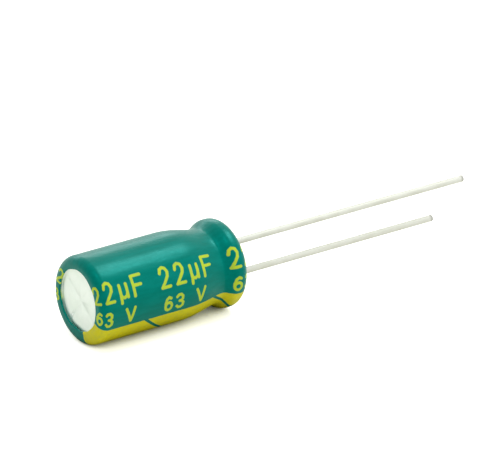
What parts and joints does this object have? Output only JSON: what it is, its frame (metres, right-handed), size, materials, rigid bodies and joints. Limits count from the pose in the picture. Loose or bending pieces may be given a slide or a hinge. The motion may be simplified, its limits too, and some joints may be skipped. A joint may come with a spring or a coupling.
{
  "type": "radial electrolytic capacitor",
  "caption": "Radial aluminium electrolytic capacitor in a teal sleeve, with straight leads for a printed circuit board.",
  "frame": {"origin": "middle of the seating plane, halfway between the two leads", "axes": "+X along the leads, away from the body, +Z from the cathode lead to the anode lead, so the part lies on its side"},
  "size_m": [0.0343, 0.0066, 0.0066],
  "materials": {
    "can": "satin",
    "sleeve": "gloss",
    "bung": "matte",
    "lead_wire": "tinned",
    "tab": "satin",
    "anode_foil": "etched",
    "cathode_foil": "etched",
    "separator": "soaked",
    "tape": "satin"
  },
  "bodies": {
    "root": {"can": "can", "sleeve": "sleeve", "rubber_bung": "bung", "anode_lead": "lead_wire", "cathode_lead": "lead_wire", "anode_tab": "tab", "cathode_tab": "tab", "anode_foil": "anode_foil", "cathode_foil": "cathode_foil", "inner_separator": "separator", "outer_separator": "separator", "fixing_tape": "tape"}
  },
  "joints": []
}
